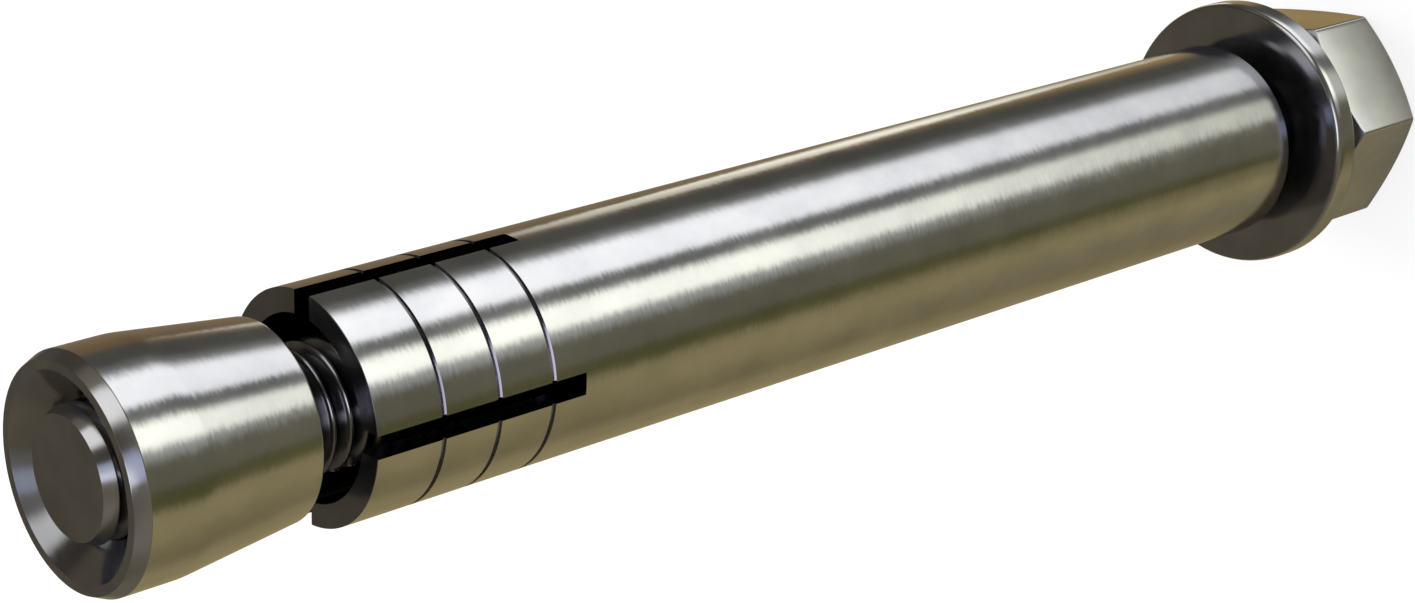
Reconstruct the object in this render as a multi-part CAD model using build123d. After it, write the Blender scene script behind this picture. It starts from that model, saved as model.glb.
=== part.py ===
from build123d import *
import math
import os

# Expansion anchor: a hexagon bolt carries a flat washer, a slotted expansion sleeve and a cone nut.
# Tightening the bolt draws the cone into the slotted end, which spreads and grips the drilled hole.
# Millimetres and degrees. Origin: centre of the head's outer face. +Z runs from the head to the
# cone nut, and one of the sleeve's slots lies on +X. The anchor stands on its head.

# Bolt: M10, with the head as thick as a high nut and chamfered on both faces
thread_d = 10.0
shank_relief = 0.1
thread_length = 38.0
runout_length = 0.6
end_chamfer_length = 0.95
end_chamfer_depth = 0.45
end_setback = 0.05
head_across_flats = 19.0
head_height = 9.5
head_chamfer_angle = 30.0
head_turn = -21.2
neck_fillet = 0.4

# Flat washer: stamped plate, drawn in over the edge of its face, which slides between head and sleeve
washer_d = 25.0
washer_thickness = 2.5
washer_clearance = 0.25
washer_face_edge_width = 0.45
washer_face_edge_drop = 0.95
washer_rear_edge = 0.3
head_to_washer = 2.9
washer_to_sleeve = 2.7

# Expansion sleeve: turned tube, slotted and barbed at the cone's end
sleeve_d = 18.0
sleeve_length = 105.0
guide_clearance = 0.2
mouth_bore_d = 14.2
mouth_bore_past_slots = 5.0
mouth_bore_end_angle = 45.0
sleeve_edge = 0.35
mouth_edge = 0.05
slot_count = 4
slot_length = 19.2
slot_width = 1.8
barb_count = 3
barb_first = 6.1
barb_pitch = 5.1
barb_ramp_length = 0.4
barb_depth = 0.25

# Cone nut: tapers towards the sleeve, with a wide countersink at its outer face
cone_length = 16.0
cone_taper_length = 10.3
cone_gap = 3.5
cone_hole_clearance = 0.14
cone_over_mouth = 0.56
cone_rear_edge = 0.3
cone_front_chamfer_length = 1.1
cone_front_chamfer_depth = 0.5
cone_rim_width = 0.7
cone_thread_clearance = 0.05
cone_rear_countersink = 0.8

# Radii that follow from the driving dimensions
thread_r = thread_d / 2
shank_r = thread_r - shank_relief
washer_r = washer_d / 2
washer_bore_r = thread_r + washer_clearance
sleeve_r = sleeve_d / 2
guide_r = thread_r + guide_clearance
mouth_r = mouth_bore_d / 2
cone_r = sleeve_r - cone_hole_clearance
cone_rear_r = mouth_r + cone_over_mouth
cone_bore_r = thread_r + cone_thread_clearance
countersink_r = cone_r - cone_front_chamfer_depth - cone_rim_width

# Heights along the bolt, from the head's outer face
washer_z = head_height + head_to_washer
washer_top_z = washer_z + washer_thickness
sleeve_z = washer_top_z + washer_to_sleeve
sleeve_top_z = sleeve_z + sleeve_length
slot_root_z = sleeve_top_z - slot_length
mouth_bore_z = slot_root_z - mouth_bore_past_slots
cone_z = sleeve_top_z + cone_gap
cone_top_z = cone_z + cone_length
bolt_end_z = cone_top_z - end_setback
thread_z = bolt_end_z - thread_length


def turned(line):
    """Revolves a closed half outline, drawn as radius and height, about the bolt's axis."""
    with BuildPart() as body:
        with BuildSketch(Plane.XZ):
            add(make_face(line.edges()))
        revolve(axis=Axis.Z)
    return body.part


def make_hex_bolt():
    """Hexagon head, chamfered on both faces, on a plain shank that ends in the threaded length."""
    corner_r = head_across_flats / 2 / math.cos(math.radians(30))
    beyond_r = corner_r + 1
    flat_r = head_across_flats / 2
    drop = (beyond_r - flat_r) * math.tan(math.radians(head_chamfer_angle))

    with BuildSketch(Plane.XY) as hexagon:
        RegularPolygon(radius=flat_r, side_count=6, major_radius=False, rotation=head_turn)
    prism = extrude(hexagon.sketch, amount=head_height)
    with BuildLine(Plane.XZ) as head_outline:
        Polyline(
            (0, 0),
            (flat_r, 0),
            (beyond_r, drop),
            (beyond_r, head_height - drop),
            (flat_r, head_height),
            (0, head_height),
            close=True,
        )
    head = prism & turned(head_outline)

    with BuildLine(Plane.XZ) as shank_outline:
        neck = RadiusArc(
            (shank_r + neck_fillet, head_height),
            (shank_r, head_height + neck_fillet),
            neck_fillet,
        )
        Polyline(
            neck @ 1,
            (shank_r, thread_z - runout_length),
            (thread_r, thread_z),
            (thread_r, bolt_end_z - end_chamfer_length),
            (thread_r - end_chamfer_depth, bolt_end_z),
            (0, bolt_end_z),
            (0, head_height),
            neck @ 0,
        )
    return head + turned(shank_outline)


def make_flat_washer():
    """Stamped ring: a long round leads from its face to the rim, and a short one ends the rim."""
    with BuildLine(Plane.XZ) as outline:
        rear_round = TangentArc(
            (washer_r - washer_rear_edge, washer_z),
            (washer_r, washer_z + washer_rear_edge),
            tangent=(1, 0),
        )
        face_round = Bezier(
            (washer_r - washer_face_edge_width, washer_top_z),
            (washer_r, washer_top_z),
            (washer_r, washer_top_z - washer_face_edge_drop),
        )
        Line(rear_round @ 1, face_round @ 1)
        Polyline(
            face_round @ 0,
            (washer_bore_r, washer_top_z),
            (washer_bore_r, washer_z),
            rear_round @ 0,
        )
    return turned(outline)


def make_expansion_sleeve():
    """Tube that guides on the bolt and opens to a thin wall over its slotted end. Each barb is a
    sharp shoulder that faces the cone, with a short ramp in front of it."""
    bore_step = (mouth_r - guide_r) / math.tan(math.radians(mouth_bore_end_angle))
    with BuildLine(Plane.XZ) as outline:
        Polyline(
            (guide_r + sleeve_edge, sleeve_z),
            (sleeve_r - sleeve_edge, sleeve_z),
            (sleeve_r, sleeve_z + sleeve_edge),
            (sleeve_r, sleeve_top_z - mouth_edge),
            (sleeve_r - mouth_edge, sleeve_top_z),
            (mouth_r + mouth_edge, sleeve_top_z),
            (mouth_r, sleeve_top_z - mouth_edge),
            (mouth_r, mouth_bore_z),
            (guide_r, mouth_bore_z - bore_step),
            (guide_r, sleeve_z + sleeve_edge),
            close=True,
        )
    with BuildPart() as sleeve:
        add(turned(outline))
        with Locations((0, 0, slot_root_z)):
            with PolarLocations(0, slot_count):
                Box(
                    2 * sleeve_r,
                    slot_width,
                    2 * slot_length,
                    align=(Align.MIN, Align.CENTER, Align.MIN),
                    mode=Mode.SUBTRACT,
                )
        for index in range(barb_count):
            shoulder_z = sleeve_top_z - barb_first - index * barb_pitch
            with BuildSketch(Plane.XZ):
                Polygon(
                    (sleeve_r - barb_depth, shoulder_z),
                    (sleeve_r + barb_depth, shoulder_z),
                    (sleeve_r + barb_depth, shoulder_z + 2 * barb_ramp_length),
                    align=None,
                )
            revolve(axis=Axis.Z, mode=Mode.SUBTRACT)
    return sleeve.part


def make_cone_nut():
    """Nut whose taper points at the sleeve, bored for the thread and countersunk at both ends."""
    countersink_z = cone_top_z - (countersink_r - cone_bore_r)
    with BuildLine(Plane.XZ) as outline:
        Polyline(
            (cone_bore_r + cone_rear_countersink, cone_z),
            (cone_rear_r - cone_rear_edge, cone_z),
            (cone_rear_r, cone_z + cone_rear_edge),
            (cone_r, cone_z + cone_taper_length),
            (cone_r, cone_top_z - cone_front_chamfer_length),
            (cone_r - cone_front_chamfer_depth, cone_top_z),
            (countersink_r, cone_top_z),
            (cone_bore_r, countersink_z),
            (cone_bore_r, cone_z + cone_rear_countersink),
            close=True,
        )
    return turned(outline)


pieces = {
    "hex_bolt": make_hex_bolt(),
    "flat_washer": make_flat_washer(),
    "expansion_sleeve": make_expansion_sleeve(),
    "cone_nut": make_cone_nut(),
}

os.makedirs("parts", exist_ok=True)
for name, piece in pieces.items():
    export_step(piece, f"parts/{name}.step")
    box = piece.bounding_box()
    print(f"{name}: {piece.volume:.0f} cubic mm, z {box.min.Z:.2f} to {box.max.Z:.2f}")
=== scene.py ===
# %% [markdown]
# # An expansion anchor in bright zinc plated steel
# A hexagon bolt carries a flat washer, a slotted sleeve and a cone nut. Tightening the bolt pulls the
# cone into the sleeve, which spreads and grips the hole. It stands here on its head, and the camera is
# rolled, so that it lies across the picture. Every size is in millimetres until a mesh is made, because
# that is how a workshop drawing gives it, and one helper turns millimetres into metres.

# %% The fixed frame
import math

import bmesh
import bpy
import numpy as np
from mathutils import Matrix, Vector


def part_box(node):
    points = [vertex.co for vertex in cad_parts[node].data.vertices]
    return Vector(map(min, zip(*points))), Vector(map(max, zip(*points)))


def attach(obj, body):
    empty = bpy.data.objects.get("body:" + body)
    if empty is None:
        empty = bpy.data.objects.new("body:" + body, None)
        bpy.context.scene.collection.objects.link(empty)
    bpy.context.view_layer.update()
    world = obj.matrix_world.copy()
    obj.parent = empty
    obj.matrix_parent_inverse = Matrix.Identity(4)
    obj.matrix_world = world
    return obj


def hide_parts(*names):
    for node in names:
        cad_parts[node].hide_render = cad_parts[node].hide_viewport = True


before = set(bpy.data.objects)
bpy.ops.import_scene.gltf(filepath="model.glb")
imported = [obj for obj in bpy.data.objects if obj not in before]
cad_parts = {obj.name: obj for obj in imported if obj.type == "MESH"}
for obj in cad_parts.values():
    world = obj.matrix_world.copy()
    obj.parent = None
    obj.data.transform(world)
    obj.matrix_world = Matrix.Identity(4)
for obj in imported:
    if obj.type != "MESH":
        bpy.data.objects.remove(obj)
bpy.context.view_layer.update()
MM = 0.001

# %% [markdown]
# ## Sizes
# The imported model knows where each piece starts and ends, so those heights and outer radii are read
# from it. What a box can't tell, such as a bore or a thread, is named here once.

# %% Heights and radii from the frame


def span(node):
    """Outer radius, lowest and highest height of a node, in millimetres."""
    low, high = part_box(node)
    return max(high.x, high.y) / MM, low.z / MM, high.z / MM


WASHER_R, WASHER_LOW, WASHER_TOP = span("flat_washer")
SLEEVE_R, SLEEVE_LOW, SLEEVE_TOP = span("expansion_sleeve")
CONE_R, CONE_LOW, CONE_TOP = span("cone_nut")
BOLT_END = span("hex_bolt")[2]
print(f"washer {WASHER_R:.2f}, sleeve {SLEEVE_R:.2f}, cone {CONE_R:.2f}, bolt end {BOLT_END:.2f} mm")

# %% Sizes of the bolt that its box doesn't show
THREAD_R = 5.0
THREAD_PITCH = 1.5
THREAD_DEPTH = 0.92
THREAD_LENGTH = 38.0
THREAD_RUNOUT = 0.6
END_CHAMFER = (0.45, 0.95)
SHANK_R = 4.9
NECK_R = 0.4
HEAD_FLATS_R = 9.5
HEAD_HEIGHT = 9.5
HEAD_CHAMFER = math.radians(30)
HEAD_TURN = math.radians(-21.2)

# %% Sizes of the other pieces that their boxes don't show
WASHER_BORE_R = 5.25
GUIDE_R = 5.2
MOUTH_R = 7.1
MOUTH_PAST_SLOTS = 5.0
SLOT_HALF = 0.9
SLOT_LENGTH = 19.2
BARB_COUNT = 3
BARB_FIRST = 6.1
BARB_PITCH = 5.1
CONE_BORE_R = 5.05
CONE_TAPER = 10.3
CONE_OVER_MOUTH = 0.56
CONE_REAR_R = MOUTH_R + CONE_OVER_MOUTH
SLOT_ROOT = SLEEVE_TOP - SLOT_LENGTH
BARBS = SLEEVE_TOP - BARB_FIRST - BARB_PITCH * np.arange(BARB_COUNT)
print("slots end at", round(SLOT_ROOT, 2), "mm, barbs at", BARBS.round(2).tolist(), "mm")

# %% [markdown]
# ## Surfaces from arrays
# Nearly all of the anchor is turned, so a Screw modifier could spin each piece from its outline. Here
# each is a grid of points instead: rows run along the outline and columns run round the axis, and a
# hexagon, a slot or a thread is only another formula for the same grid. The helpers below turn such a
# grid into faces, and several grids into one closed mesh. Neighbouring grids share their border points,
# so a weld of a micrometre closes every seam and pole.

# %% Grid to faces


def quads(rows, columns, lift=0):
    """Faces between neighbouring rows and columns. The last column meets the first one `lift` rows
    higher, which closes a ring when lift is 0 and a screw when it is the rows in one turn."""
    row, column = np.meshgrid(np.arange(rows - 1), np.arange(columns), indexing="ij")
    last = column == columns - 1
    row_across = row + lift * last
    column_across = (column + 1) % columns
    there = row_across + 1 < rows
    corners = [
        row * columns + column,
        row_across * columns + column_across,
        (row_across + 1) * columns + column_across,
        (row + 1) * columns + column,
    ]
    return np.stack([corner[there] for corner in corners], axis=-1)


def revolve(radius, height, angle):
    """Points of a turned surface: x and y are radius times cosine and sine of the angle, z the height.
    The three arrays are broadcast against each other, rows by columns."""
    radius, height, angle = np.broadcast_arrays(radius, height, angle)
    return np.stack([radius * np.cos(angle), radius * np.sin(angle), height], axis=-1)


# %% Grids to one welded mesh
SHARP_ANGLE = math.radians(17)
WELD_GAP = 1e-6


def mark_borders(mesh):
    """Marks an edge sharp where two grids meet, on top of those that the angle has marked: the lowest
    and the highest grid number among an edge's faces differ there."""
    edge_of_corner = np.empty(len(mesh.loops), np.int32)
    mesh.loops.foreach_get("edge_index", edge_of_corner)
    corners_of_face = np.empty(len(mesh.polygons), np.int32)
    mesh.polygons.foreach_get("loop_total", corners_of_face)
    grid_of_face = np.empty(len(mesh.polygons), np.int32)
    mesh.attributes["grid"].data.foreach_get("value", grid_of_face)
    grid_of_corner = np.repeat(grid_of_face, corners_of_face)
    lowest = np.full(len(mesh.edges), grid_of_face.max())
    highest = np.full(len(mesh.edges), 0)
    np.minimum.at(lowest, edge_of_corner, grid_of_corner)
    np.maximum.at(highest, edge_of_corner, grid_of_corner)
    sharp = np.empty(len(mesh.edges), bool)
    mesh.edges.foreach_get("use_edge_sharp", sharp)
    mesh.edges.foreach_set("use_edge_sharp", sharp | (lowest != highest))


def make_piece(name, grids, replaced, body):
    """Joins grids, each a tuple of points (rows, columns, 3), faces and painted shade (rows, columns),
    into one welded mesh in metres. The painted shade is 0 where a surface lies open and 1 deep in a
    bore, and darkens the colour there. It is kept per face corner, so that a wall with painted shade
    can meet an open face without a smear."""
    points, faces, painted_shade, numbers, start = [], [], [], [], 0
    for number, (grid, grid_faces, grid_painted_shade) in enumerate(grids):
        points.append(grid.reshape(-1, 3))
        faces.append(grid_faces.reshape(-1, 4) + start)
        at_points = np.broadcast_to(grid_painted_shade, grid.shape[:2]).ravel()
        painted_shade.append(at_points[grid_faces.reshape(-1)])
        numbers.append(np.full(len(faces[-1]), number))
        start += points[-1].shape[0]
    mesh = bpy.data.meshes.new(name)
    mesh.from_pydata(np.concatenate(points) * MM, [], np.concatenate(faces).tolist())
    layer = mesh.attributes.new("painted_shade", "FLOAT", "CORNER")
    layer.data.foreach_set("value", np.concatenate(painted_shade).astype(np.float32))
    layer = mesh.attributes.new("grid", "INT", "FACE")
    layer.data.foreach_set("value", np.concatenate(numbers).astype(np.int32))
    shape = bmesh.new()
    shape.from_mesh(mesh)
    bmesh.ops.remove_doubles(shape, verts=shape.verts, dist=WELD_GAP)
    open_edges = sum(1 for edge in shape.edges if not edge.is_manifold)
    shape.to_mesh(mesh)
    shape.free()
    mesh.shade_smooth()
    mesh.set_sharp_from_angle(angle=SHARP_ANGLE)
    mark_borders(mesh)
    piece = bpy.data.objects.new(name, mesh)
    bpy.context.collection.objects.link(piece)
    smoother = piece.modifiers.new("even_normals", "WEIGHTED_NORMAL")
    smoother.keep_sharp = True
    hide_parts(replaced)
    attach(piece, body)
    print(f"{name}: {len(mesh.polygons)} faces, {open_edges} open edges")
    return piece


# %% [markdown]
# ## Outlines with broken edges
# No edge on a machined part is truly sharp: a small round catches a line of light. A Bevel modifier
# would give every edge the same round, but here each has its own. So an outline is given by its corner
# points, and each corner is swapped for a short curve that starts and ends a little way before and
# after it.

# %% Rounded outlines
ROUND_STEPS = 9


def rounded(corners, breaks):
    """Closed outline with each corner swapped for a quadratic curve, whose middle handle is the corner.
    `breaks` says how far before and after the corner the curve starts and ends: one number for both,
    or a pair for each corner."""
    corners = np.asarray(corners, float)
    reach = np.asarray(breaks, float).reshape(len(corners), -1)
    back = np.roll(corners, 1, axis=0) - corners
    ahead = np.roll(corners, -1, axis=0) - corners
    start = corners + back / np.linalg.norm(back, axis=1, keepdims=True) * reach[:, :1]
    end = corners + ahead / np.linalg.norm(ahead, axis=1, keepdims=True) * reach[:, -1:]
    t = np.linspace(0, 1, ROUND_STEPS)[None, :, None]
    curve = (1 - t) ** 2 * start[:, None] + 2 * t * (1 - t) * corners[:, None] + t**2 * end[:, None]
    return curve.reshape(-1, 2)


# %% [markdown]
# ## Columns that gather at the corners
# The hexagon's six corners need many columns, and its flats need few. The angle inside each sixth is
# 30 degrees times the sine of an even parameter, which crowds the columns where the sine turns over.
# The shank and the thread use the same columns, so the whole bolt welds into one skin.

# %% The bolt's columns
SIDES = 6
COLUMNS_PER_SIDE = 32
HALF_SIDE = math.radians(30)
even = np.linspace(-1, 1, COLUMNS_PER_SIDE, endpoint=False)
within_side = HALF_SIDE * np.sin(even * math.pi / 2)
flat_middle = HEAD_TURN + HALF_SIDE + np.arange(SIDES)[:, None] * 2 * HALF_SIDE
BOLT_ANGLE = (flat_middle + within_side[None, :]).reshape(1, -1)
print("columns round the bolt:", BOLT_ANGLE.size)

# %% [markdown]
# ## The hexagon head
# A forged head is a hexagonal prism whose two faces are chamfered in a lathe. It could be cut with
# booleans, but soft edges would then need a bevel that fails where the chamfer runs out to nothing on
# the middle of each flat. Here the head is one formula instead: for each direction from its centre,
# every flat, face and chamfer says how far away it is, and a high power blends those answers. The
# nearest surface wins, and where two are equally near the edge comes out softly rounded.

# %% Head
EDGE_SHARPNESS = 420
CORNER_SHARPNESS = 130
head_centre = HEAD_HEIGHT / 2
chamfer_reach = HEAD_FLATS_R * math.sin(HEAD_CHAMFER) + head_centre * math.cos(HEAD_CHAMFER)


def power_norm(shares, power):
    """The p-norm over the last axis. The largest share is taken out of the power first, because a
    small share to a high power would be too small a number to hold."""
    largest = shares.max(axis=-1)
    return largest * np.sum((shares / largest[..., None]) ** power, axis=-1) ** (1 / power)


def head_distance(rise, angle):
    """Distance from the head's centre to its skin, in the direction with that elevation and angle:
    one over the p-norm of the direction's share of each surface's own distance. The six flats are
    blended first, with a lower power, because their corners are rounder than the other edges."""
    outward = np.cos(rise)[..., None]
    upward = np.sin(rise)[..., None]
    turn = np.cos(angle[..., None] - flat_middle[:, 0])
    flats = np.maximum(outward * turn, 0) / HEAD_FLATS_R
    faces = np.abs(upward) / head_centre
    cones = (outward * math.sin(HEAD_CHAMFER) + np.abs(upward) * math.cos(HEAD_CHAMFER)) / chamfer_reach
    prism = power_norm(flats, CORNER_SHARPNESS)
    return 1 / power_norm(np.concatenate([prism[..., None], faces, cones], axis=-1), EDGE_SHARPNESS)


# %% Where the head's chamfer starts and ends
# It starts at one level all round, and ends lower the farther a column is from a flat's middle
past_corner = (BOLT_ANGLE - flat_middle[0, 0] + HALF_SIDE) % (2 * HALF_SIDE)
from_middle = np.abs(past_corner - HALF_SIDE)
wall_r = HEAD_FLATS_R / np.cos(from_middle)
wall_top = head_centre - (wall_r - HEAD_FLATS_R) * math.tan(HEAD_CHAMFER)
chamfer_high = math.atan2(head_centre, HEAD_FLATS_R)
chamfer_low = np.arctan2(wall_top, wall_r)

# %% Head rows
# Each row is an elevation seen from the head's centre. They gather on both sides of an edge, and run
# from the neck over the face, the chamfer and the wall, and then the same way down to the outer face.
FACE_ROWS = 6
neck_start_r = SHANK_R + NECK_R
neck_rise = math.atan2(head_centre, neck_start_r)
close_by = np.radians([0.9, 0.5, 0.28, 0.14, 0.04])
far_rows = np.linspace(neck_rise, chamfer_high + math.radians(1.6), FACE_ROWS)
over_face = np.append(far_rows, chamfer_high + close_by)
share_down = np.array([0.02, 0.05, 0.12, 0.25, 0.5, 0.75, 0.88, 0.95, 0.98])[:, None]
over_chamfer = chamfer_high + (chamfer_low - chamfer_high) * share_down
over_wall = chamfer_low - close_by[::-1, None]
to_middle = over_wall[-1] * np.array([0.85, 0.6, 0.3, 0.0])[:, None]
upper = np.concatenate([over_face[:, None] + 0 * BOLT_ANGLE, over_chamfer, over_wall, to_middle])
lower_end = -np.radians([38, 50, 65, 80, 90])[:, None] + 0 * BOLT_ANGLE
lower = np.concatenate([-upper[:-1][::-1][:-FACE_ROWS], lower_end])
rise = np.concatenate([upper, lower])[::-1]
angle = BOLT_ANGLE + 0 * rise
distance = head_distance(rise, angle)
head_grid = revolve(distance * np.cos(rise), head_centre + distance * np.sin(rise), angle)
print("head rows:", head_grid.shape[0], "corner radius:", round(float(distance.max()), 2))

# %% [markdown]
# ## Shank and thread
# The shank is a plain cylinder with a small hollow fillet under the head. The thread is rolled on the
# last part of it, which leaves its crests and its roots round, so a cosine wave is its form. Its rows
# follow the screw line, not level circles, so a crest runs on without a step: a row climbs one pitch in
# a turn and there meets the row that lies one turn higher. Rows that would pass the thread's end are
# held there, and the weld removes what has no area.

# %% Thread form
CREST_AT = 0.0625
THREAD_SHADE = 0.25
ROOT_SHADE_POWER = 1.6
FADE_IN_TURNS = 1.5
FADE_OUT_TURNS = 0.4
STEPS_IN_TURN = np.array(
    [0, 0.03, 0.0625, 0.095, 0.125, 0.18, 0.26, 0.38, 0.5, 0.625, 0.745, 0.865, 0.945]
)


def thread_fall(turn):
    """How far the thread falls below its crest, from 0 to 1, at a share of one pitch: half of one
    minus the cosine of the full turns since the crest. Its steepest slope is about 60 degrees."""
    return 0.5 - 0.5 * np.cos(2 * math.pi * (turn - CREST_AT))


def screw_grid(low, high, angle):
    """Heights and turns of rows that follow a right-hand screw line between two heights: a row's height
    is its own share of the pitch, plus one pitch for each full turn of the angle."""
    turns = math.ceil((high - low) / THREAD_PITCH) + 1
    share = (np.arange(turns)[:, None] + STEPS_IN_TURN[None, :]).reshape(-1, 1)
    share = np.append(share, [[turns]], axis=0)
    climb = (angle - angle[0, 0]) / (2 * math.pi)
    height = low + (share + climb - 1) * THREAD_PITCH
    turn = share + np.zeros_like(climb)
    return np.clip(height, low, high), turn


# %% Shank
# The shank and the fillet under the head get a little painted shade
SHANK_SHADE = 0.3
thread_low = BOLT_END - THREAD_LENGTH
bend = np.linspace(0, math.pi / 2, 6)
neck_r = neck_start_r - NECK_R * np.sin(bend)
neck_z = HEAD_HEIGHT + NECK_R * (1 - np.cos(bend))
shank_r = np.concatenate([neck_r, [SHANK_R, SHANK_R, THREAD_R]])[:, None]
shank_z = np.concatenate([neck_z, [HEAD_HEIGHT + 1, thread_low - THREAD_RUNOUT, thread_low]])[:, None]
shank_grid = revolve(shank_r, shank_z, BOLT_ANGLE)

# %% Thread
chamfer_in, chamfer_along = END_CHAMFER
thread_high = BOLT_END - chamfer_along
thread_z, thread_turn = screw_grid(thread_low, thread_high, BOLT_ANGLE)
fade_in = np.clip((thread_z - thread_low) / (FADE_IN_TURNS * THREAD_PITCH), 0, 1)
fade_out = np.clip((thread_high - thread_z) / (FADE_OUT_TURNS * THREAD_PITCH), 0, 1)
fall = THREAD_DEPTH * thread_fall(thread_turn) * fade_in * fade_out
thread_grid = revolve(THREAD_R - fall, thread_z, BOLT_ANGLE)
# Painted shade on the thread: THREAD_SHADE on the crests, growing to full in the roots
thread_painted_shade = THREAD_SHADE + (1 - THREAD_SHADE) * (fall / THREAD_DEPTH) ** ROOT_SHADE_POWER
print(f"thread rows: {thread_grid.shape[0]}, from {thread_low:.2f} to {thread_high:.2f} mm")

# %% Bolt
cap_r = THREAD_R - chamfer_in
end_r = np.array([THREAD_R, cap_r])[:, None]
end_z = np.array([thread_high, BOLT_END])[:, None]
end_grid = revolve(end_r, end_z, BOLT_ANGLE)
cap_grid = revolve(np.array([cap_r, 2.0, 0.0])[:, None], BOLT_END, BOLT_ANGLE)

columns = BOLT_ANGLE.size
bolt = make_piece(
    "bolt",
    [
        (head_grid, quads(head_grid.shape[0], columns), 0.0),
        (shank_grid, quads(shank_grid.shape[0], columns), SHANK_SHADE),
        (thread_grid, quads(thread_grid.shape[0], columns, len(STEPS_IN_TURN)), thread_painted_shade),
        (end_grid, quads(2, columns), 0.0),
        (cap_grid, quads(3, columns), 0.0),
    ],
    "hex_bolt",
    "bolt",
)

# %% [markdown]
# ## The washer
# A thick washer is punched out of plate. The punch draws the edge of one face down into a long round,
# and the other edge is only tumbled. A drilled cylinder with a bevel would round both edges alike, so
# it is a turned outline, with each round as a curve of its own: the light shows the long one as a broad
# gleam and the short one as a thin line.

# %% Washer
ROUND_COLUMNS = 192
ROUND_ANGLE = np.linspace(0, 2 * math.pi, ROUND_COLUMNS, endpoint=False)[None, :]
FACE_ROUND = (0.95, 0.45)
REAR_ROUND = (0.3, 0.3)
BORE_EDGE = (0.03, 0.03)


def turned_grid(outline):
    """A closed outline of radius and height pairs carried round the axis, with no recess. Its first
    row comes again at the end, so that the outline meets itself."""
    ring = np.concatenate([outline, outline[:1]])
    grid = revolve(ring[:, :1], ring[:, 1:], ROUND_ANGLE)
    return grid, quads(grid.shape[0], ROUND_COLUMNS), 0.0


washer_outline = rounded(
    [
        (WASHER_R, WASHER_LOW),
        (WASHER_R, WASHER_TOP),
        (WASHER_BORE_R, WASHER_TOP),
        (WASHER_BORE_R, WASHER_LOW),
    ],
    [REAR_ROUND, FACE_ROUND, BORE_EDGE, BORE_EDGE],
)
washer = make_piece("washer", [turned_grid(washer_outline)], "flat_washer", "washer")

# %% [markdown]
# ## The expansion sleeve
# The sleeve is turned, then sawn into four leaves. Three barbs run round the leaves: a sharp shoulder
# that faces the cone, with a short ramp in front of it.
#
# Slots cut by booleans would leave long slivers in the shading of the wall. So the sleeve is made as
# two skins of a tube on one grid of angle and height. Over each slot the patches of both skins are left
# out, and a strip joins the skins along every border between a kept patch and a missing one: that gives
# the slot's walls, its floor and the tube's two ends in one rule. A slot has parallel walls, so its
# edge lies at the angle whose sine is half the width over the radius, which is a wider angle on the
# inner skin than on the outer one.

# %% Sleeve columns
# A column's angle is its base plus its weight times the slot's half angle. From one slot to the next
# the base goes from 0 to a quarter turn, and the weight from 1 to minus 1.
QUARTERS = 4
LEAF_PATCHES = 44
slot_weight = np.array([-1.0, -0.4, 0.4])
leaf_share = np.linspace(0, 1, LEAF_PATCHES, endpoint=False)
quarter_base = np.concatenate([np.zeros(slot_weight.size), leaf_share * math.pi / 2])
quarter_weight = np.concatenate([slot_weight, 1 - 2 * leaf_share])
base = (quarter_base[None, :] + np.arange(QUARTERS)[:, None] * math.pi / 2).reshape(1, -1)
weight = np.tile(quarter_weight, QUARTERS)[None, :]
over_slot = np.tile(np.arange(quarter_base.size) < slot_weight.size, QUARTERS)

# %% Sleeve levels
# The fall is how far the outer skin lies under the sleeve's full radius, the shade how much painted
# shade it gets: some on the eased edges at both ends, a little at the foot of each barb's shoulder
EDGE = 0.35
MOUTH_EDGE = 0.05
BARB_DEPTH = 0.25
BARB_RAMP = 0.4
BARB_SHOULDER = 0.03
barb_steps = np.array([-BARB_SHOULDER, 0.0, 0.5 * BARB_RAMP, BARB_RAMP])
barb_falls = np.array([0.0, 1.0, 0.5, 0.0]) * BARB_DEPTH
barb_shades = np.array([0.0, 0.1, 0.0, 0.0])
barb_z = (BARBS[::-1, None] + barb_steps).ravel()
head_edge_z = [SLEEVE_LOW, SLEEVE_LOW + EDGE]
mouth_edge_z = [SLEEVE_TOP - MOUTH_EDGE, SLEEVE_TOP]
outer_z = np.concatenate([head_edge_z, barb_z, mouth_edge_z])
outer_fall = np.concatenate([[EDGE, 0], np.tile(barb_falls, BARBS.size), [0, MOUTH_EDGE]])
outer_shade = np.concatenate([[0.5, 0], np.tile(barb_shades, BARBS.size), [0, 0.7]])
mouth_low = SLOT_ROOT - MOUTH_PAST_SLOTS
mouth_step = mouth_low - (MOUTH_R - GUIDE_R)
inner_z = [*head_edge_z, mouth_step, mouth_low, *mouth_edge_z]
inner_r = [GUIDE_R + EDGE, GUIDE_R, GUIDE_R, MOUTH_R, MOUTH_R, MOUTH_R + MOUTH_EDGE]
between = np.linspace(20, 120, 21)
levels = np.unique(np.round(np.concatenate([outer_z, inner_z, [SLOT_ROOT], between]), 6))
print("levels:", levels.size, "columns:", base.size)

# %% Sleeve skins


def skin(radius):
    """One skin of the wall: a slot's edges lie at the arcsine of half its width over the radius."""
    radius = radius[:, None]
    return revolve(radius, levels[:, None], base + weight * np.arcsin(SLOT_HALF / radius))


outer_skin = skin(SLEEVE_R - np.interp(levels, outer_z, outer_fall))
inner_skin = skin(np.interp(levels, inner_z, inner_r))
sleeve_rows, sleeve_columns = outer_skin.shape[:2]
skins = np.stack([outer_skin.reshape(-1, 3), inner_skin.reshape(-1, 3)])
# Painted shade per point: the outer skin as its levels give, the inner skin full, near black
outer_painted_shade = np.interp(levels, outer_z, outer_shade)[:, None] + np.zeros(sleeve_columns)
outer_painted_shade = np.stack([outer_painted_shade.ravel(), np.ones(sleeve_rows * sleeve_columns)])

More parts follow.
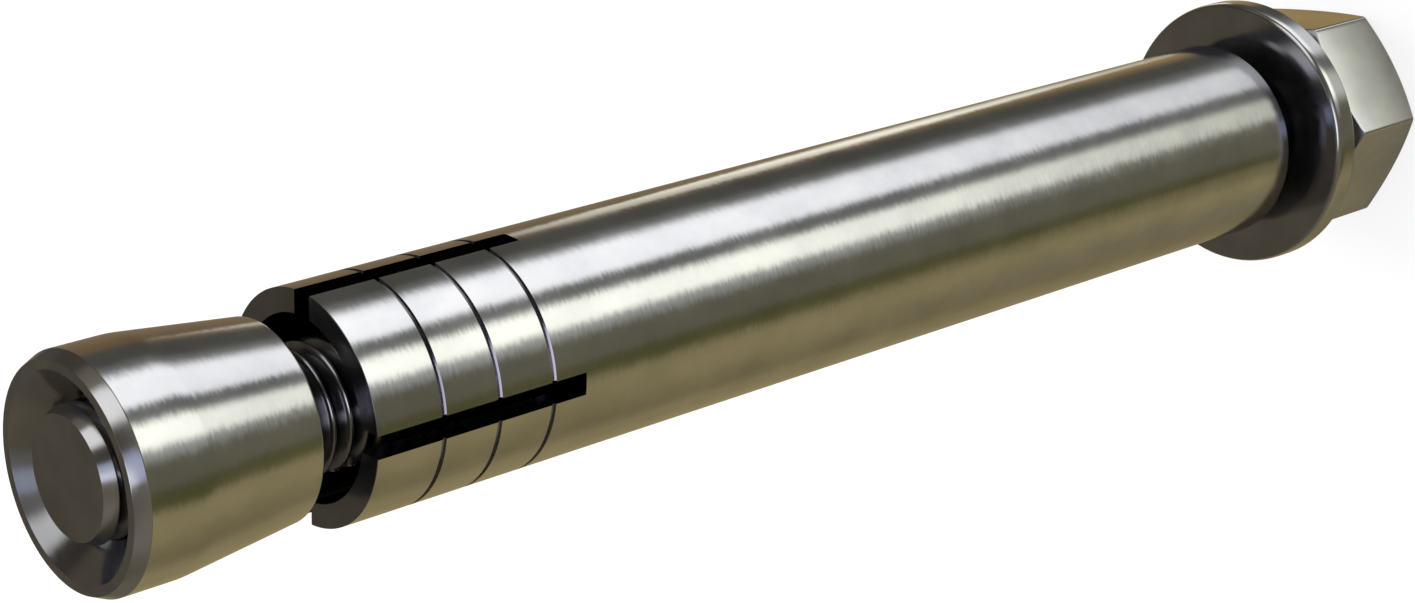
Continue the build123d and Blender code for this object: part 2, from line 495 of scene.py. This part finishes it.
# %% Sleeve faces
# Painted shade on the sleeve's ends, more at the head's end than at the mouth's; the inner skin and the
# slot walls get full painted shade, near black
HEAD_END_SHADE = 0.6
MOUTH_END_SHADE = 0.3
kept = ~(over_slot[None, :] & (levels[:-1, None] > SLOT_ROOT - 1e-6))
patch = quads(sleeve_rows, sleeve_columns).reshape(sleeve_rows - 1, sleeve_columns, 4)
to_inner = sleeve_rows * sleeve_columns


def strip(bordered, a, b):
    """Joins both skins along the edge from corner a to corner b of each bordered patch."""
    edge = patch[bordered][:, [a, b]]
    return np.stack([edge[:, 1], edge[:, 0], edge[:, 0] + to_inner, edge[:, 1] + to_inner], axis=-1)


first_row = np.arange(sleeve_rows - 1)[:, None] == 0
last_row = np.arange(sleeve_rows - 1)[:, None] == sleeve_rows - 2
above_missing = kept & ~np.vstack([kept[1:], kept[-1:]])
slot_walls = np.concatenate(
    [
        strip(kept & ~np.roll(kept, -1, axis=1), 1, 2),
        strip(kept & ~np.roll(kept, 1, axis=1), 3, 0),
        strip(above_missing, 2, 3),
    ]
)
head_end = strip(kept & first_row, 0, 1)
mouth_end = strip(kept & last_row, 2, 3)
sleeve = make_piece(
    "sleeve",
    [
        (skins, patch[kept], outer_painted_shade),
        (skins, patch[kept][:, ::-1] + to_inner, 1.0),
        (skins, slot_walls, 1.0),
        (skins, head_end, HEAD_END_SHADE),
        (skins, mouth_end, MOUTH_END_SHADE),
    ],
    "expansion_sleeve",
    "sleeve",
)

# %% [markdown]
# ## The cone nut
# The cone nut is turned: a taper towards the sleeve, a short cylinder, a chamfer, a narrow flat ring
# and a wide countersink that leads into the thread. A screw-shaped cutter could bore it, but slowly and
# with ragged ends. So the outside is an outline carried round the axis, and the bore is a screw grid
# like the bolt's, a hair wider and in step with it, so that the two threads mesh at rest and in every
# pose.

# %% The cone nut's outside
FRONT_CHAMFER = (0.5, 1.1)
RIM_WIDTH = 0.7
REAR_SINK = 0.8
REAR_SHADE = 0.6
front_in, front_along = FRONT_CHAMFER
sink_r = CONE_R - front_in - RIM_WIDTH
sink_low = CONE_TOP - (sink_r - CONE_BORE_R)
outline = rounded(
    [
        (CONE_BORE_R, CONE_LOW + REAR_SINK),
        (CONE_BORE_R + REAR_SINK, CONE_LOW),
        (CONE_REAR_R, CONE_LOW),
        (CONE_R, CONE_LOW + CONE_TAPER),
        (CONE_R, CONE_TOP - front_along),
        (CONE_R - front_in, CONE_TOP),
        (sink_r, CONE_TOP),
        (CONE_BORE_R, sink_low),
    ],
    [0.0, 0.05, 0.3, 0.6, 0.06, 0.05, 0.05, 0.0],
)
# The first and the last corner are the bore's ends, which the screw grid joins
outline = outline[ROUND_STEPS - 1 : -(ROUND_STEPS - 1)]
outside_grid = revolve(outline[:, :1], outline[:, 1:], ROUND_ANGLE)
# The narrow face towards the sleeve and the edge of the bore in it get painted shade, as they lie in
# the gap
in_the_gap = (outline[:, 1:] < CONE_LOW + REAR_SINK + 1e-3) & (outline[:, :1] < CONE_REAR_R - 0.2)
outside_painted_shade = REAR_SHADE * in_the_gap

# %% Cone nut
BORE_THREAD_SHARE = 0.9
BORE_FADE_TURNS = 0.5
bore_z, bore_turn = screw_grid(CONE_LOW + REAR_SINK, sink_low, ROUND_ANGLE)
meshed = (CONE_LOW + REAR_SINK - thread_low) / THREAD_PITCH
bore_fall = THREAD_DEPTH * thread_fall(bore_turn + meshed)
from_ends = np.minimum(bore_z - CONE_LOW - REAR_SINK, sink_low - bore_z)
bore_fade = np.clip(from_ends / (BORE_FADE_TURNS * THREAD_PITCH), 0, 1)
bore_r = CONE_BORE_R - bore_fall * BORE_THREAD_SHARE * bore_fade
bore_grid = revolve(bore_r, bore_z, ROUND_ANGLE)
# The threaded bore gets full painted shade, near black
cone = make_piece(
    "cone",
    [
        (outside_grid, quads(outside_grid.shape[0], ROUND_COLUMNS), outside_painted_shade),
        (bore_grid, quads(bore_grid.shape[0], ROUND_COLUMNS, len(STEPS_IN_TURN))[:, ::-1], 1.0),
    ],
    "cone_nut",
    "cone",
)

# %% [markdown]
# ## Node groups for the finish
# All four pieces are the same plated steel, worked in different ways. Two effects come back in each
# material, so each is a node group. A lathe's tool chatters: along the axis its marks change within a
# fraction of a millimetre, and round the axis slowly. That frays the edges of every band of light. And
# a zinc coat never has quite one tone. A painted picture could hold both, but would need a flat layout
# of each piece, while noise on Object coordinates needs none. The groups put out only values, colours
# and normals.

# %% Helpers for nodes


def new_group(name, inputs, outputs):
    """A shader node group with float inputs and the given outputs."""
    group = bpy.data.node_groups.new(name, "ShaderNodeTree")
    for label, default in inputs:
        socket = group.interface.new_socket(label, in_out="INPUT", socket_type="NodeSocketFloat")
        socket.default_value = default
    for label, kind in outputs:
        group.interface.new_socket(label, in_out="OUTPUT", socket_type=kind)
    return group, group.nodes.new("NodeGroupInput"), group.nodes.new("NodeGroupOutput")


def feed(tree, socket, value):
    """Links a socket, or sets a plain value on it."""
    if isinstance(value, bpy.types.NodeSocket):
        tree.links.new(value, socket)
    else:
        socket.default_value = value


def calc(tree, operation, *values):
    """A Math node on sockets or numbers, and its result."""
    node = tree.nodes.new("ShaderNodeMath")
    node.operation = operation
    for place, value in enumerate(values):
        feed(tree, node.inputs[place], value)
    return node.outputs[0]


def vector(tree, x, y, z):
    """A vector from three sockets or numbers."""
    node = tree.nodes.new("ShaderNodeCombineXYZ")
    for place, value in enumerate((x, y, z)):
        feed(tree, node.inputs[place], value)
    return node.outputs[0]


def noise(tree, where, scale, detail):
    """Noise from 0 to 1 at a vector."""
    node = tree.nodes.new("ShaderNodeTexNoise")
    tree.links.new(where, node.inputs["Vector"])
    feed(tree, node.inputs["Scale"], scale)
    node.inputs["Detail"].default_value = detail
    return node.outputs["Fac"]


PATH_PER_RADIUS = 1.37


def round_the_axis(tree):
    """The cosine and the sine of the angle round the axis, and the path along the outline, all from
    Object coordinates. The path is the height plus 1.37 times the radius, so that it moves on along
    walls, faces and slanting chamfers alike."""
    where = tree.nodes.new("ShaderNodeTexCoord")
    split = tree.nodes.new("ShaderNodeSeparateXYZ")
    tree.links.new(where.outputs["Object"], split.inputs[0])
    x, y, z = split.outputs
    square = calc(tree, "ADD", calc(tree, "MULTIPLY", x, x), calc(tree, "MULTIPLY", y, y))
    radius = calc(tree, "MAXIMUM", calc(tree, "SQRT", square), 1e-5)
    path = calc(tree, "MULTIPLY_ADD", radius, PATH_PER_RADIUS, z)
    return calc(tree, "DIVIDE", x, radius), calc(tree, "DIVIDE", y, radius), path


def noise_round(tree, cosine, sine, along, patches, detail):
    """Noise by angle and path. The angle's cosine and sine are stretched by the number of patches, so
    that the noise meets itself after a turn."""
    across = calc(tree, "MULTIPLY", cosine, patches)
    beside = calc(tree, "MULTIPLY", sine, patches)
    return noise(tree, vector(tree, across, beside, along), 1, detail)


# %% Tool marks
FINE_PATCHES = 9
WAVE_PATCHES = 6
WAVES_PER_MARK = 0.16


def tool_marks():
    """Two noises by angle and path, a fine and a coarse one. The normal is nudged round the axis, along
    the direction minus sine, cosine, by the fine noise times chatter plus the coarse one times waves,
    and half as much along the axis. Faces square to the axis stay even: the nudge is scaled by one
    minus the square of the normal's height. Tilt leans the normal up or down the axis."""
    group, source, sink = new_group(
        "ToolMarks",
        [("Marks per mm", 4.0), ("Chatter", 0.03), ("Waves", 0.02), ("Tilt", 0.0)],
        [("Normal", "NodeSocketVector"), ("Mark", "NodeSocketFloat")],
    )
    cosine, sine, path = round_the_axis(group)
    along = calc(group, "MULTIPLY", calc(group, "DIVIDE", path, MM), source.outputs["Marks per mm"])
    fine = noise_round(group, cosine, sine, along, FINE_PATCHES, 2)
    slow = calc(group, "MULTIPLY", along, WAVES_PER_MARK)
    coarse = noise_round(group, cosine, sine, slow, WAVE_PATCHES, 3)
    fine_part = calc(group, "MULTIPLY", calc(group, "SUBTRACT", fine, 0.5), source.outputs["Chatter"])
    coarse_part = calc(group, "MULTIPLY", calc(group, "SUBTRACT", coarse, 0.5), source.outputs["Waves"])
    facing = group.nodes.new("ShaderNodeSeparateXYZ")
    group.links.new(group.nodes.new("ShaderNodeTexCoord").outputs["Normal"], facing.inputs[0])
    level = calc(group, "MULTIPLY", facing.outputs["Z"], facing.outputs["Z"])
    wall = calc(group, "SUBTRACT", 1, level)
    amount = calc(group, "MULTIPLY", calc(group, "ADD", fine_part, coarse_part), wall)
    sideways = vector(
        group,
        calc(group, "MULTIPLY", calc(group, "MULTIPLY", sine, -1), amount),
        calc(group, "MULTIPLY", cosine, amount),
        calc(group, "MULTIPLY_ADD", amount, 0.5, source.outputs["Tilt"]),
    )
    to_world = group.nodes.new("ShaderNodeVectorTransform")
    to_world.vector_type = "VECTOR"
    to_world.convert_from = "OBJECT"
    to_world.convert_to = "WORLD"
    group.links.new(sideways, to_world.inputs[0])
    surface = group.nodes.new("ShaderNodeNewGeometry")
    total = group.nodes.new("ShaderNodeVectorMath")
    total.operation = "ADD"
    group.links.new(surface.outputs["Normal"], total.inputs[0])
    group.links.new(to_world.outputs[0], total.inputs[1])
    unit = group.nodes.new("ShaderNodeVectorMath")
    unit.operation = "NORMALIZE"
    group.links.new(total.outputs[0], unit.inputs[0])
    group.links.new(unit.outputs[0], sink.inputs["Normal"])
    group.links.new(fine, sink.inputs["Mark"])
    return group


MARKS = tool_marks()

# %% The zinc coat


def zinc_coat_and_painted_shade():
    """A cloudy noise slides the colour between a cool and a warm zinc tone, and painted shade darkens
    it down to near black inside bores and slots, where shade would fall. The cloud is put out too, for
    the roughness to follow."""
    group, source, sink = new_group(
        "ZincCoatAndPaintedShade",
        [("Painted shade", 0.0), ("Clouds", 0.24)],
        [("Color", "NodeSocketColor"), ("Cloud", "NodeSocketFloat")],
    )
    where = group.nodes.new("ShaderNodeTexCoord")
    along = group.nodes.new("ShaderNodeMapping")
    along.inputs["Scale"].default_value = (1 / MM, 1 / MM, 0.8 / MM)
    group.links.new(where.outputs["Object"], along.inputs["Vector"])
    cloud = noise(group, along.outputs["Vector"], source.outputs["Clouds"], 4)
    tone = group.nodes.new("ShaderNodeValToRGB")
    tone.color_ramp.elements[0].position = 0.34
    tone.color_ramp.elements[0].color = (0.70, 0.70, 0.69, 1)
    tone.color_ramp.elements[1].position = 0.66
    tone.color_ramp.elements[1].color = (0.82, 0.815, 0.795, 1)
    group.links.new(cloud, tone.inputs[0])
    # Painted shade: the zinc colour is mixed towards near black as the painted shade rises
    dark = group.nodes.new("ShaderNodeMix")
    dark.data_type = "RGBA"
    dark.inputs["B"].default_value = (0.012, 0.012, 0.016, 1)
    group.links.new(source.outputs["Painted shade"], dark.inputs["Factor"])
    group.links.new(tone.outputs["Color"], dark.inputs["A"])
    group.links.new(dark.outputs["Result"], sink.inputs["Color"])
    group.links.new(cloud, sink.inputs["Cloud"])
    return group


COAT_AND_PAINTED_SHADE = zinc_coat_and_painted_shade()

# %% [markdown]
# ## Four finishes of one steel
# Each piece gets its own material: metal all through, with its own roughness, marks and chatter. The
# marks are far finer than the mesh, so they only turn the normal. What really shows in the round, such
# as the thread, the barbs and the eased edges, is geometry. The flats of a forged head are slightly
# crowned from face to face. That is too little for the outline to show, so it is in the normal as well.

# %% Materials
# How much rougher than the rest the clouds, the marks and the recesses are, and how far above the head
# its crown still holds
CLOUD_ROUGHNESS = 0.10
MARK_ROUGHNESS = 0.06
RECESS_ROUGHNESS = 0.10
CROWN_MARGIN = 0.02


def plated_steel(name, roughness, marks_per_mm, chatter, waves, crown=0.0):
    """Principled metal: colour and cloud from the coat, whose colour carries the painted shade of the
    recesses, normal from the tool marks, and roughness that follows both a little and rises in the
    recesses. Crown leans the normals of the head's flats along the axis, from minus that at the outer
    face to plus that at the inner one."""
    material = bpy.data.materials.new(name)
    material.use_nodes = True
    tree = material.node_tree
    shader = tree.nodes["Principled BSDF"]
    shader.inputs["Metallic"].default_value = 1.0
    painted_shade = tree.nodes.new("ShaderNodeAttribute")
    painted_shade.attribute_name = "painted_shade"
    coat_and_painted_shade = tree.nodes.new("ShaderNodeGroup")
    coat_and_painted_shade.node_tree = COAT_AND_PAINTED_SHADE
    tree.links.new(painted_shade.outputs["Fac"], coat_and_painted_shade.inputs["Painted shade"])
    tree.links.new(coat_and_painted_shade.outputs["Color"], shader.inputs["Base Color"])
    marks = tree.nodes.new("ShaderNodeGroup")
    marks.node_tree = MARKS
    marks.inputs["Marks per mm"].default_value = marks_per_mm
    marks.inputs["Chatter"].default_value = chatter
    marks.inputs["Waves"].default_value = waves
    if crown:
        where = tree.nodes.new("ShaderNodeTexCoord")
        split = tree.nodes.new("ShaderNodeSeparateXYZ")
        tree.links.new(where.outputs["Object"], split.inputs[0])
        height = split.outputs["Z"]
        on_head = calc(tree, "LESS_THAN", height, (HEAD_HEIGHT + CROWN_MARGIN) * MM)
        slope = 2 * crown / (HEAD_HEIGHT * MM)
        lean = calc(tree, "MULTIPLY_ADD", height, slope, -crown)
        tree.links.new(calc(tree, "MULTIPLY", lean, on_head), marks.inputs["Tilt"])
    tree.links.new(marks.outputs["Normal"], shader.inputs["Normal"])
    even_part = roughness - CLOUD_ROUGHNESS / 2
    cloudy = calc(tree, "MULTIPLY_ADD", coat_and_painted_shade.outputs["Cloud"], CLOUD_ROUGHNESS, even_part)
    marked = calc(tree, "MULTIPLY_ADD", marks.outputs["Mark"], MARK_ROUGHNESS, cloudy)
    total = calc(tree, "MULTIPLY_ADD", painted_shade.outputs["Fac"], RECESS_ROUGHNESS, marked)
    tree.links.new(total, shader.inputs["Roughness"])
    return material


FINISHES = {
    bolt: plated_steel("steel_bolt", 0.13, 1.5, 0.01, 0.02, crown=0.07),
    washer: plated_steel("steel_washer", 0.12, 1.5, 0.01, 0.03),
    sleeve: plated_steel("steel_sleeve", 0.12, 4.0, 0.05, 0.03),
    cone: plated_steel("steel_cone", 0.12, 4.0, 0.05, 0.03),
}
for piece, material in FINISHES.items():
    piece.data.materials.append(material)
print("finishes:", [material.name for material in FINISHES.values()])

# %% [markdown]
# ## The camera
# The picture shows the anchor from the cone's side, 40 degrees off square, through a lens half again
# as long as normal. The camera looks at a point near the middle of the sleeve, and is rolled so that
# the standing bolt lies across the frame. An azimuth, an elevation and a roll tell that more plainly
# than three rotation angles, so its three axes are worked out from them.

# %% Camera
LOOK_AT = Vector((-0.86, -0.461, 83.285)) * MM
AZIMUTH = math.radians(-61.8133)
ELEVATION = math.radians(39.9319)
ROLL = math.radians(106.6801)
CAMERA_DISTANCE = 238.312 * MM
LENS = 75.22

outward = Vector(
    (
        math.cos(ELEVATION) * math.cos(AZIMUTH),
        math.cos(ELEVATION) * math.sin(AZIMUTH),
        math.sin(ELEVATION),
    )
)
level_right = Vector((-math.sin(AZIMUTH), math.cos(AZIMUTH), 0))
level_up = outward.cross(level_right)
up = level_up * math.cos(ROLL) + level_right * math.sin(ROLL)
right = up.cross(outward)
camera = bpy.data.objects.new("camera", bpy.data.cameras.new("camera"))
bpy.context.collection.objects.link(camera)
camera.matrix_world = Matrix.Translation(LOOK_AT + outward * CAMERA_DISTANCE) @ Matrix(
    (right, up, outward)
).transposed().to_4x4()
camera.data.lens = LENS
camera.data.sensor_width = 36.0
camera.data.clip_start = 0.01
bpy.context.scene.camera = camera
print("camera at", [round(value, 4) for value in camera.matrix_world.translation])

# %% [markdown]
# ## The floor
# The anchor stands on a pale light table, a disc that glows a little itself. More light on a white
# sheet would do as well, but it would fall on the steel too. So the floor stays nearly white in the
# picture, with a soft touch of shadow at the head. Mirrored rays pass it by: what the steel mirrors is
# the studio round it, which is painted on the sky.

# %% Floor
FLOOR_R = 3.0
FLOOR_DROP = 0.02
FLOOR_GLOW = 0.80


def make_floor():
    """A disc just under the head: rings of points at growing radii, closed at the middle."""
    radius = np.array([0.0, 0.05, 0.3, FLOOR_R])[::-1, None] / MM
    grid = revolve(radius, -FLOOR_DROP, ROUND_ANGLE)
    mesh = bpy.data.meshes.new("floor")
    mesh.from_pydata(grid.reshape(-1, 3) * MM, [], quads(grid.shape[0], ROUND_COLUMNS).tolist())
    floor = bpy.data.objects.new("floor", mesh)
    bpy.context.collection.objects.link(floor)
    floor.visible_glossy = False
    return floor


def floor_material():
    """Matt white that glows."""
    material = bpy.data.materials.new("light_table")
    material.use_nodes = True
    matt = material.node_tree.nodes["Principled BSDF"]
    matt.inputs["Base Color"].default_value = (0.22, 0.22, 0.22, 1)
    matt.inputs["Roughness"].default_value = 1.0
    matt.inputs["Specular IOR Level"].default_value = 0.0
    matt.inputs["Emission Color"].default_value = (1, 1, 1, 1)
    matt.inputs["Emission Strength"].default_value = FLOOR_GLOW
    return material


floor = make_floor()
floor.data.materials.append(floor_material())

# %% [markdown]
# ## The studio that the steel mirrors
# Polished metal has hardly any colour of its own: it shows the room. From above, every upright wall of
# the anchor mirrors what stands lower down round it, so the bands along the sleeve are a matter of
# direction alone. Real panels round the anchor could give them, but a painted sky has less noise and
# stands in nobody's way.
#
# White and dark cards stand in a ring, and the ramp below gives each card by the angle on the sleeve
# where its image is found, which is half its own angle round the anchor. There are two such rings: the
# head's end mirrors the near one, which lies more steeply below, and the cone's end the far one.

# %% Colours of the cards
WHITE = (1.20, 1.21, 1.27)
WARM_WHITE = (1.36, 1.37, 1.27)
GREY = (0.34, 0.35, 0.34)
SLATE = (0.15, 0.155, 0.15)
GRAPHITE = (0.075, 0.072, 0.064)
MOSS = (0.085, 0.082, 0.034)
STONE = (0.125, 0.118, 0.085)
UMBER = (0.265, 0.22, 0.115)
BROWN = (0.19, 0.16, 0.085)
SAND = (0.31, 0.25, 0.12)
DIM_WHITE = (0.70, 0.71, 0.75)
DIM_WARM = (0.53, 0.54, 0.47)
RUST = (0.155, 0.105, 0.058)
EARTH = (0.205, 0.15, 0.092)
CLAY = (0.26, 0.215, 0.15)
GOLD = (0.33, 0.235, 0.10)
FLINT = (0.195, 0.172, 0.11)
UNDER = (0.14, 0.135, 0.115, 1)
FAR_CARDS = [
    (-88, SAND),
    (-66, UMBER),
    (-54, BROWN),
    (-34, UMBER),
    (-30, UMBER),
    (-24, MOSS),
    (-20, MOSS),
    (-15, STONE),
    (-7, STONE),
    (-1, GREY),
    (4, WARM_WHITE),
    (11, WARM_WHITE),
    (16, SLATE),
    (20, SLATE),
    (24, WHITE),
    (36.5, WHITE),
    (44, SLATE),
    (49, GRAPHITE),
    (57, GRAPHITE),
    (63, RUST),
    (77, EARTH),
    (88, CLAY),
]
NEAR_CARDS = [
    (-88, UMBER),
    (-62, BROWN),
    (-49, FLINT),
    (-34, UMBER),
    (-27, BROWN),
    (-22, MOSS),
    (-14, STONE),
    (-2, STONE),
    (5, DIM_WARM),
    (11, DIM_WARM),
    (17, SLATE),
    (21, SLATE),
    (26, DIM_WHITE),
    (36, DIM_WHITE),
    (45, SLATE),
    (52, GRAPHITE),
    (60, GRAPHITE),
    (68, GOLD),
    (76, GOLD),
    (88, UMBER),
]

# %% Sky helpers


def fill_ramp(ramp, stops):
    """Sets a colour ramp from (position, colour) pairs in rising order."""
    ramp.elements.remove(ramp.elements[1])
    ramp.elements[0].position = stops[0][0]
    ramp.elements[0].color = (*stops[0][1], 1)
    for position, colour in stops[1:]:
        ramp.elements.new(position).color = (*colour, 1)


def card_ring(tree, turned, cards):
    """A ramp by direction: the gradient goes once round the anchor, so an image at an angle on the
    sleeve lies at half plus that angle over 180 degrees."""
    sweep = tree.nodes.new("ShaderNodeTexGradient")
    sweep.gradient_type = "RADIAL"
    tree.links.new(turned, sweep.inputs["Vector"])
    ramp = tree.nodes.new("ShaderNodeValToRGB")
    ramp.color_ramp.interpolation = "EASE"
    fill_ramp(ramp.color_ramp, [(0.5 + angle / 180, colour) for angle, colour in cards])
    tree.links.new(sweep.outputs["Fac"], ramp.inputs["Fac"])
    return ramp.outputs["Color"]


def blend_by(tree, value, zone, first, second):
    """Goes smoothly from the first colour to the second one while the value goes through the zone."""
    share = tree.nodes.new("ShaderNodeMapRange")
    share.interpolation_type = "SMOOTHSTEP"
    tree.links.new(value, share.inputs["Value"])
    share.inputs["From Min"].default_value = zone[0]
    share.inputs["From Max"].default_value = zone[1]
    mix = tree.nodes.new("ShaderNodeMix")
    mix.data_type = "RGBA"
    tree.links.new(share.outputs["Result"], mix.inputs["Factor"])
    feed(tree, mix.inputs["A"], first)
    feed(tree, mix.inputs["B"], second)
    return mix.outputs["Result"]


def soft_box(tree, direction, under, turn, rise, full, gone, colour):
    """Lays a round soft light over the colour that is under it. Its middle is turned and raised by the
    given degrees from the camera's side, it is full within one angle from there and gone beyond
    another one."""
    towards = tree.nodes.new("ShaderNodeVectorMath")
    towards.operation = "DOT_PRODUCT"
    side, up = math.radians(turn), math.radians(rise)
    middle = (math.cos(up) * math.cos(side), math.cos(up) * math.sin(side), math.sin(up))
    towards.inputs[1].default_value = middle
    tree.links.new(direction, towards.inputs[0])
    rim = (math.cos(math.radians(gone)), math.cos(math.radians(full)))
    return blend_by(tree, towards.outputs["Value"], rim, under, (*colour, 1))


# %% Plain parts of the sky
FILL = 0.9
BACKDROP = (1.0, 1.0, 1.0, 1)

# %% Colours of the room
ROOM = (0.066, 0.056, 0.042, 1)
ROOM_SIDE = (0.15, 0.135, 0.115, 1)
LOFT = (0.08, 0.068, 0.046, 1)
NIGHT = (0.032, 0.025, 0.022, 1)
LEDGE_WARM = (0.125, 0.11, 0.08, 1)
LEDGE_DARK = (0.06, 0.055, 0.05, 1)
CORNER_WARM = (0.030, 0.022, 0.014, 1)
CORNER_COOL = (0.012, 0.011, 0.018, 1)

# %% [markdown]
# ## Soft boxes
# Chamfers, the countersink, the washer's round and its face look up, and so they mirror soft boxes in
# the room above. Each line gives how far a box is turned from the camera's side, how high it is raised,
# the angle within which it is full, the angle beyond which it is gone, and its colour. A row of small
# boxes low behind the anchor makes the thin streak along the sleeve's upper edge. Light that has gone
# from steel to steel, as between the sleeve's end and the washer, shows a dark corner of the room with
# a few boxes of its own.

# %% Boxes in the room
SOFT_BOXES = [
    (0, 64, 20, 34, (0.115, 0.108, 0.11)),
    (-8, 20, 5, 17, (0.40, 0.43, 0.60)),
    (-18, 37, 11, 16.5, (1.25, 1.28, 1.40)),
    (-15, 62, 3, 13, (0.25, 0.27, 0.36)),
    (52, 16, 6, 23, (0.88, 0.88, 0.90)),
    (58, 27, 10, 19, (0.90, 0.90, 0.92)),
    (46, 31, 4, 15, (0.90, 0.90, 0.92)),
    (66, 52, 6, 20, (0.52, 0.53, 0.55)),
    (112, 0, 12, 20, (0.055, 0.043, 0.036)),
    (90, -80, 14, 24, (0.62, 0.62, 0.62)),
    (151, -47.5, 1.0, 5.0, (0.42, 0.40, 0.33)),
    (145.5, -45.7, 1.0, 5.0, (0.75, 0.71, 0.60)),
    (140.5, -44.1, 1.0, 5.0, (1.0, 0.95, 0.80)),
    (136, -42.6, 1.0, 5.0, (1.25, 1.18, 1.0)),
    (132, -41, 1.0, 5.0, (1.0, 0.95, 0.8)),
    (128.5, -39.2, 0.8, 4.5, (0.72, 0.68, 0.58)),
]

# %% Boxes in the dark corner
CORNER_BOXES = [
    (-20, -4, 25.5, 31, (0.95, 0.90, 1.25)),
    (76, 32, 8, 28, (0.62, 0.63, 0.68)),
    (-75, 30, 6, 18, (0.25, 0.24, 0.19)),
    (80, -24, 5, 13, (0.40, 0.40, 0.44)),
    (58, 52, 5, 15, (0.42, 0.43, 0.50)),
    (-12, 52, 2, 9, (0.22, 0.25, 0.42)),
    (0, 88, 18, 34, (0.15, 0.13, 0.105)),
]

# %% The studio
# A direction's height is the sine of its elevation. Each pair says between which heights, or between
# which places from side to side or from back to front, one part of the studio passes into the next.
# The last pair counts bounces: a ray's depth is 2 after its first mirror and 3 after its second.
UNDER_TO_NEAR = (-0.90, -0.79)
NEAR_TO_FAR = (-0.80, -0.63)
FAR_TO_LEDGE = (-0.44, -0.24)
LEDGE_TO_ROOM = (-0.12, 0.14)
ROOM_TO_LOFT = (0.22, 0.42)
SIDE_TO_SIDE = (-0.3, 0.3)
BACK_TO_FRONT = (-0.5, 0.35)
BACK_TO_LOFT = (-0.55, -0.30)
SECOND_MIRROR = (2.2, 2.8)


def studio_colour(tree):
    """What mirrored rays see: rings of cards below, the dark room above, and soft boxes in it. A ray
    that has gone from steel to steel finds a dark room with a few boxes, as in a deep corner."""
    where = tree.nodes.new("ShaderNodeTexCoord")
    turn = tree.nodes.new("ShaderNodeMapping")
    turn.inputs["Rotation"].default_value = (0, 0, -AZIMUTH)
    tree.links.new(where.outputs["Generated"], turn.inputs["Vector"])
    direction = turn.outputs["Vector"]
    split = tree.nodes.new("ShaderNodeSeparateXYZ")
    tree.links.new(direction, split.inputs[0])
    far = card_ring(tree, direction, FAR_CARDS)
    near = card_ring(tree, direction, NEAR_CARDS)
    height = split.outputs["Z"]
    front, sideways = split.outputs["X"], split.outputs["Y"]
    ring = blend_by(tree, height, NEAR_TO_FAR, near, far)
    ring = blend_by(tree, height, UNDER_TO_NEAR, UNDER, ring)
    ledge = blend_by(tree, sideways, SIDE_TO_SIDE, LEDGE_WARM, LEDGE_DARK)
    ring = blend_by(tree, height, FAR_TO_LEDGE, ring, ledge)
    walls = blend_by(tree, front, BACK_TO_FRONT, ROOM, ROOM_SIDE)
    loft = blend_by(tree, sideways, SIDE_TO_SIDE, LOFT, NIGHT)
    loft = blend_by(tree, front, BACK_TO_LOFT, ROOM, loft)
    room = blend_by(tree, height, ROOM_TO_LOFT, walls, loft)
    sky = blend_by(tree, height, LEDGE_TO_ROOM, ring, room)
    for box in SOFT_BOXES:
        sky = soft_box(tree, direction, sky, *box)
    corner = blend_by(tree, sideways, SIDE_TO_SIDE, CORNER_WARM, CORNER_COOL)
    for box in CORNER_BOXES:
        corner = soft_box(tree, direction, corner, *box)
    bounces = tree.nodes.new("ShaderNodeLightPath").outputs["Ray Depth"]
    return blend_by(tree, bounces, SECOND_MIRROR, sky, corner)


def make_sky():
    """Camera rays see a white wall, mirrored rays the studio, and all others an even white fill."""
    world = bpy.data.worlds.new("studio")
    bpy.context.scene.world = world
    world.use_nodes = True
    tree = world.node_tree
    tree.nodes.clear()
    path = tree.nodes.new("ShaderNodeLightPath")
    fill = tree.nodes.new("ShaderNodeBackground")
    fill.inputs["Color"].default_value = (FILL, FILL, FILL, 1)
    mirrored = tree.nodes.new("ShaderNodeBackground")
    tree.links.new(studio_colour(tree), mirrored.inputs["Color"])
    wall = tree.nodes.new("ShaderNodeBackground")
    wall.inputs["Color"].default_value = BACKDROP
    with_mirror = tree.nodes.new("ShaderNodeMixShader")
    tree.links.new(path.outputs["Is Glossy Ray"], with_mirror.inputs[0])
    tree.links.new(fill.outputs[0], with_mirror.inputs[1])
    tree.links.new(mirrored.outputs[0], with_mirror.inputs[2])
    with_wall = tree.nodes.new("ShaderNodeMixShader")
    tree.links.new(path.outputs["Is Camera Ray"], with_wall.inputs[0])
    tree.links.new(with_mirror.outputs[0], with_wall.inputs[1])
    tree.links.new(wall.outputs[0], with_wall.inputs[2])
    output = tree.nodes.new("ShaderNodeOutputWorld")
    tree.links.new(with_wall.outputs[0], output.inputs["Surface"])


make_sky()
print("cards:", len(FAR_CARDS) + len(NEAR_CARDS), "boxes:", len(SOFT_BOXES) + len(CORNER_BOXES))

# %% [markdown]
# ## The lamp
# One round soft lamp behind the anchor gives the floor its faint shadow. The steel doesn't mirror it.

# %% Lamp
LAMP_AT = Vector((0.15, 0.75, 0.95))
LAMP_SIZE = 0.7
LAMP_POWER = 6.0
lamp = bpy.data.objects.new("soft_lamp", bpy.data.lights.new("soft_lamp", "AREA"))
lamp.data.shape = "DISK"
lamp.data.size = LAMP_SIZE
lamp.data.energy = LAMP_POWER
lamp.visible_glossy = False
lamp.location = LAMP_AT
lamp.rotation_euler = (-LAMP_AT).to_track_quat("-Z", "Y").to_euler()
bpy.context.collection.objects.link(lamp)

# %% [markdown]
# ## Colour
# The view is plain Standard, so that a colour renders as it is written.

# %% Finish
bpy.context.scene.view_settings.view_transform = "Standard"
